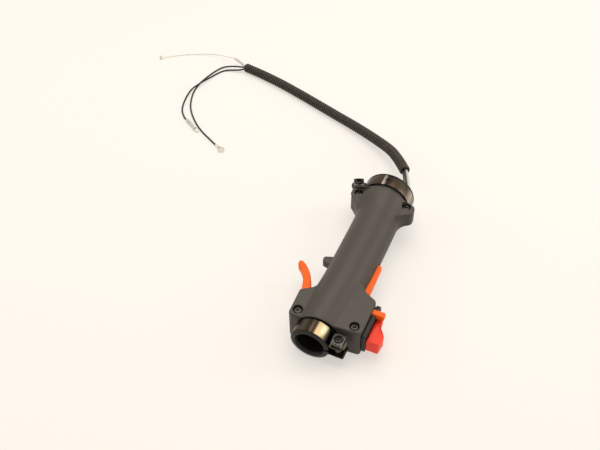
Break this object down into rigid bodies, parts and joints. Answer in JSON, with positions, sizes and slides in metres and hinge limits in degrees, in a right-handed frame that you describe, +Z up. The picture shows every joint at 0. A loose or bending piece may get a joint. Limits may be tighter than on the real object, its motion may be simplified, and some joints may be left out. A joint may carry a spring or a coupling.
{
  "type": "brush cutter throttle grip",
  "caption": "Round throttle grip of two shells that clamps on a shaft tube, with finger trigger, palm lockout, sliding stop switch, cable and stop wires.",
  "frame": {"origin": "on the resting surface, below the middle of the grip's own box, measured without the free cords", "axes": "+X to the palm side, with the stop switch; +Y from the front clamp to the rear clamp; +Z up, the grip lying on its side"},
  "size_m": [0.4199, 0.3751, 0.0513],
  "materials": {
    "shell_plastic": "fine moulded grain, dark warm grey",
    "sleeve_rubber": "moulded rubber, grey black",
    "band_steel": "polished dark plating",
    "plated_steel": "dark zinc plating",
    "orange_plastic": "moulded, half gloss",
    "red_plastic": "moulded, half gloss",
    "switch_black": "fine moulded grain",
    "bright_steel": "drawn wire and turned pins",
    "contact_brass": "stamped",
    "casing_grey": "extruded, half gloss",
    "cord_black": "extruded, half matt",
    "tinned_copper": "tinned, stamped",
    "clear_tube": "clear extruded tube"
  },
  "bodies": {
    "grip": {"upper_shell": "shell_plastic", "lower_shell": "shell_plastic", "front_sleeve": "sleeve_rubber", "rear_sleeve": "sleeve_rubber", "front_band": "band_steel", "rear_band": "band_steel", "shell_screw_front_left": "plated_steel", "shell_screw_front_right": "plated_steel", "shell_screw_rear_left": "plated_steel", "shell_screw_rear_right": "plated_steel", "front_band_screw": "plated_steel", "front_band_nut": "plated_steel", "rear_band_screw": "plated_steel", "rear_band_nut": "plated_steel", "switch_base": "switch_black", "trigger_pin": "bright_steel", "trigger_spring": "bright_steel", "lockout_pin": "bright_steel", "lockout_spring": "bright_steel", "latch_spring": "bright_steel", "carburettor_wire": "bright_steel", "carburettor_nipple": "bright_steel", "switch_terminal_earth": "contact_brass", "switch_terminal_coil": "contact_brass", "casing_inside": "casing_grey", "cable_casing": "casing_grey", "stop_lead_earth": "cord_black", "stop_lead_coil": "cord_black", "stop_wire_earth": "cord_black", "stop_wire_coil": "cord_black", "ribbed_conduit": "cord_black", "ring_terminal": "tinned_copper", "bullet_terminal": "tinned_copper", "cable_liner": "clear_tube", "bullet_sleeve": "clear_tube"},
    "trigger": {"trigger": "orange_plastic"},
    "throttle_wire": {"wire_nipple": "bright_steel", "pull_wire": "bright_steel"},
    "lockout": {"lockout_lever": "orange_plastic"},
    "stop_switch": {"stop_switch_knob": "red_plastic", "switch_contact": "contact_brass"},
    "latch": {"throttle_latch": "orange_plastic"}
  },
  "joints": [
    {"name": "trigger_pull", "type": "hinge", "parent": "grip", "child": "trigger", "pos_m": [-0.02476, -0.0624, 0.01998], "axis": [0, 0.0406, -0.9992], "range_deg": [0, 17], "stiffness_Nm_per_rad": 0.25, "springref_deg": -22.92, "deforming": ["trigger_spring"]},
    {"name": "wire_pull", "type": "slide", "parent": "grip", "child": "throttle_wire", "axis": [0, -0.9992, -0.0406], "range_m": [0, 0.0026]},
    {"name": "lockout_press", "type": "hinge", "parent": "grip", "child": "lockout", "pos_m": [0.01344, -0.03562, 0.02107], "axis": [0, -0.0406, 0.9992], "range_deg": [0, 8], "stiffness_Nm_per_rad": 0.2, "springref_deg": -11.46, "deforming": ["lockout_spring"]},
    {"name": "stop_switch_slide", "type": "slide", "parent": "grip", "child": "stop_switch", "axis": [0, 0.9992, 0.0406], "range_m": [0, 0.006]},
    {"name": "latch_push", "type": "slide", "parent": "grip", "child": "latch", "axis": [-1, 0, 0], "range_m": [0, 0.003], "stiffness_N_per_m": 300, "springref_m": -0.003, "deforming": ["latch_spring"]}
  ],
  "couplings": [
    {"joint": "wire_pull", "follows": "trigger_pull", "m_per_rad": 0.00863}
  ]
}
